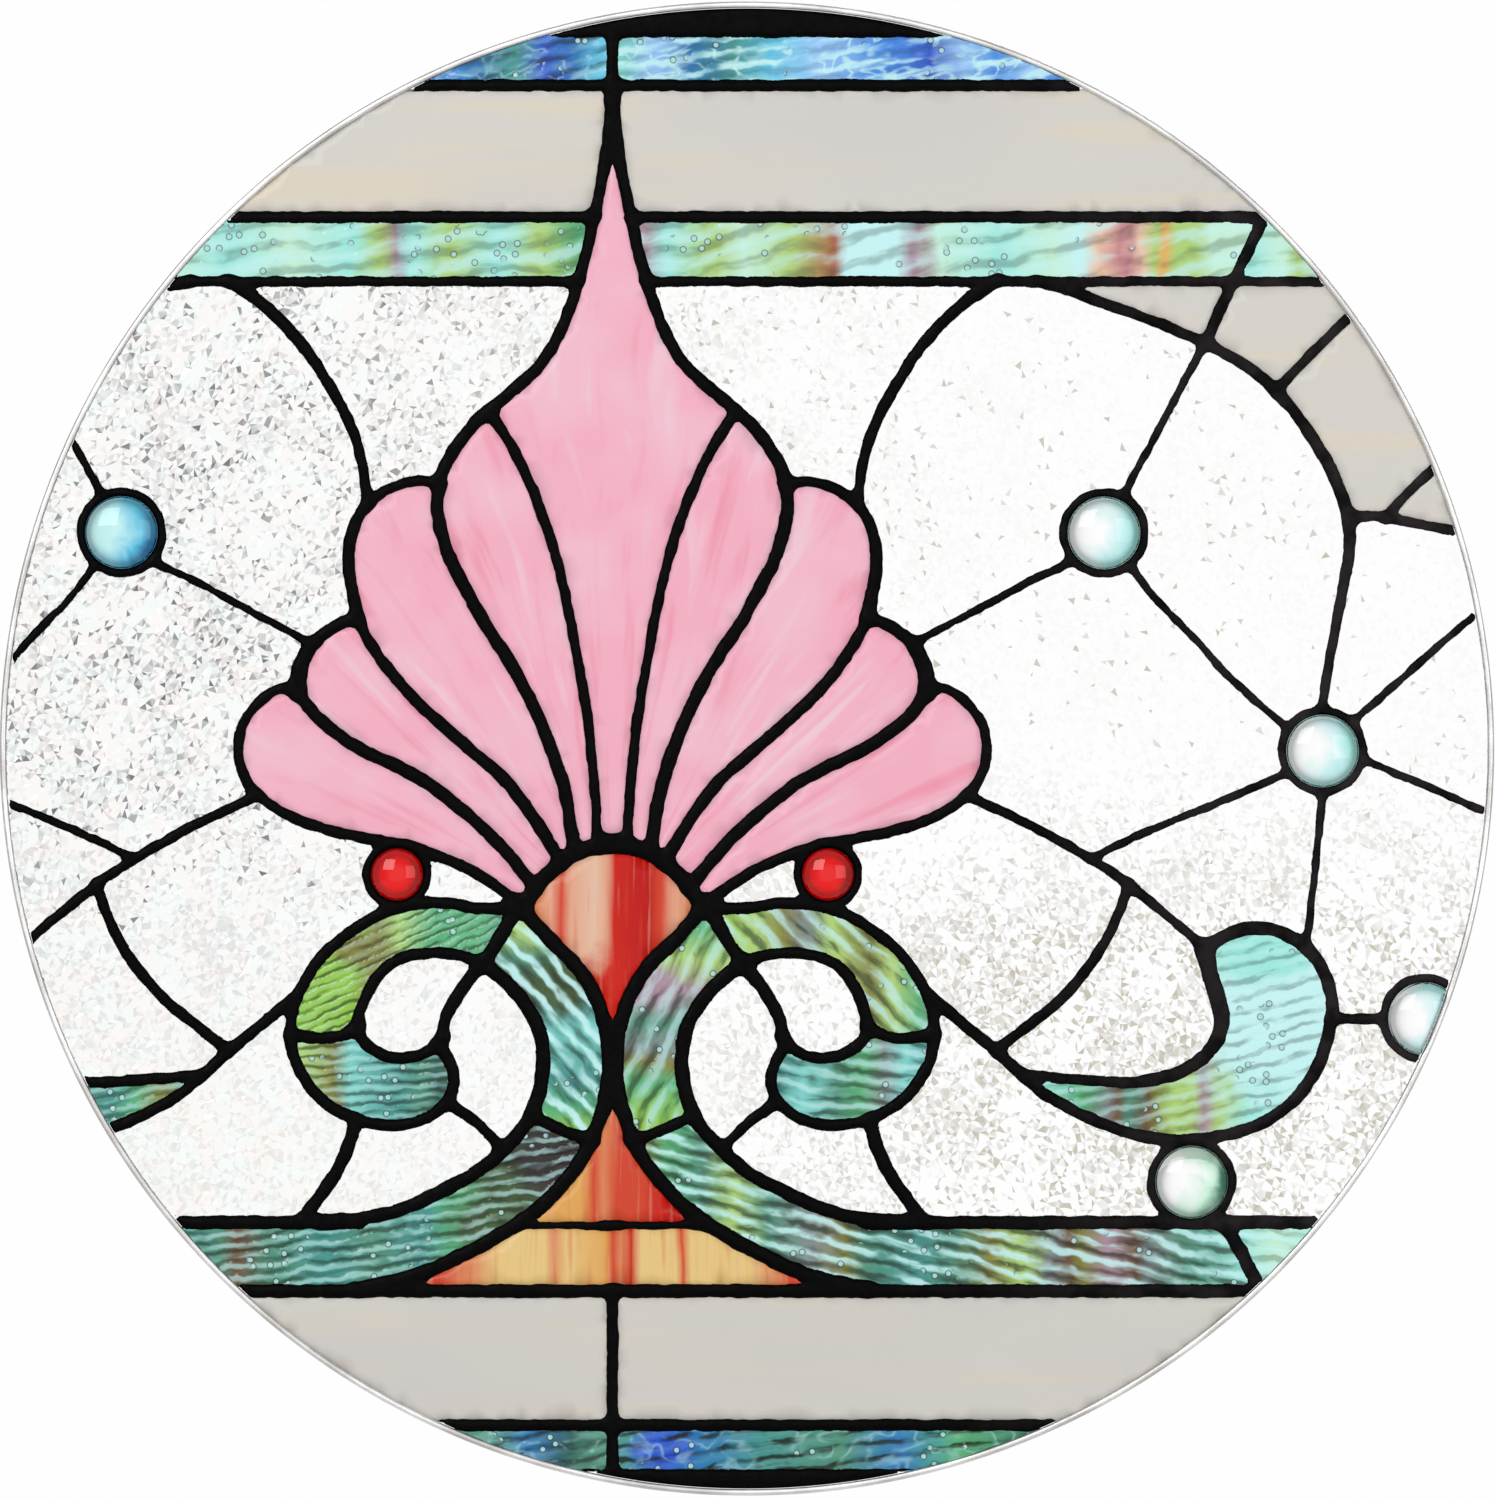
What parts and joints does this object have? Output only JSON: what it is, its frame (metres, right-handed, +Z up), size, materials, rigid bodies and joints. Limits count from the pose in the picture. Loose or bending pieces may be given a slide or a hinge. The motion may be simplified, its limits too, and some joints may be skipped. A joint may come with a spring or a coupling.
{
  "type": "round stained glass window",
  "caption": "Round leaded window: a pink palmette over paired green scrolls on clear textured glass, with domed jewels and banded borders.",
  "frame": {"origin": "on the back face of the edge came, at the middle of its face, at the lowest point of the window", "axes": "+Z up, +X to the right as seen from the front, +Y out of the back; the front faces -Y"},
  "size_m": [0.6, 0.0102, 0.5999],
  "materials": {
    "zinc": "bare zinc came, satin",
    "lead": "black patina on solder",
    "clear_glass": "hammered, clear",
    "pink_glass": "streaky opalescent",
    "cream_glass": "opalescent",
    "blue_glass": "rippled, streaky",
    "aqua_glass": "rippled, streaky",
    "green_glass": "rippled, streaky",
    "amber_glass": "streaky opalescent",
    "red_glass": "pressed, glossy",
    "pearl_glass": "pressed, glossy"
  },
  "bodies": {
    "root": {"edge_came": "zinc", "solder_lattice": "lead", "glass_petal_centre": "pink_glass", "glass_petal_inner_left": "pink_glass", "glass_petal_inner_right": "pink_glass", "glass_petal_tall_left": "pink_glass", "glass_petal_tall_right": "pink_glass", "glass_petal_short_left": "pink_glass", "glass_petal_short_right": "pink_glass", "glass_petal_low_left": "pink_glass", "glass_petal_low_right": "pink_glass", "glass_heart": "amber_glass", "glass_heart_point": "amber_glass", "glass_heart_base": "amber_glass", "glass_scroll_head_left": "green_glass", "glass_scroll_head_right": "green_glass", "glass_scroll_curl_left": "green_glass", "glass_scroll_curl_right": "green_glass", "glass_scroll_stem_left": "green_glass", "glass_scroll_stem_right": "green_glass", "glass_scroll_foot_left": "green_glass", "glass_scroll_foot_right": "green_glass", "glass_band_end_bottom": "green_glass", "glass_scroll_eye_left": "clear_glass", "glass_scroll_eye_right": "clear_glass", "glass_bud_left": "clear_glass", "glass_bud_right": "clear_glass", "glass_shoulder_left": "clear_glass", "glass_shoulder_right": "clear_glass", "glass_field_upper_left": "clear_glass", "glass_field_upper_right": "clear_glass", "glass_field_middle_left": "clear_glass", "glass_field_middle_right": "clear_glass", "glass_field_lower_left": "clear_glass", "glass_field_lower_right": "clear_glass", "glass_field_bottom_left": "clear_glass", "glass_field_bottom_right": "clear_glass", "glass_field_corner": "clear_glass", "glass_cream_top_left": "cream_glass", "glass_cream_top_right": "cream_glass", "glass_cream_bottom_left": "cream_glass", "glass_cream_bottom_right": "cream_glass", "glass_arch_tip": "cream_glass", "glass_arch": "cream_glass", "glass_blue_top_left": "blue_glass", "glass_blue_top_right": "blue_glass", "glass_blue_bottom_left": "blue_glass", "glass_blue_bottom_right": "blue_glass", "glass_band_left": "aqua_glass", "glass_band_right": "aqua_glass", "glass_band_end_top": "aqua_glass", "glass_leaf": "aqua_glass", "glass_leaf_end": "aqua_glass", "jewel_blue": "blue_glass", "jewel_aqua_top": "aqua_glass", "jewel_aqua_middle": "aqua_glass", "jewel_aqua_edge": "aqua_glass", "jewel_grey": "pearl_glass", "jewel_red_left": "red_glass", "jewel_red_right": "red_glass"}
  },
  "joints": []
}
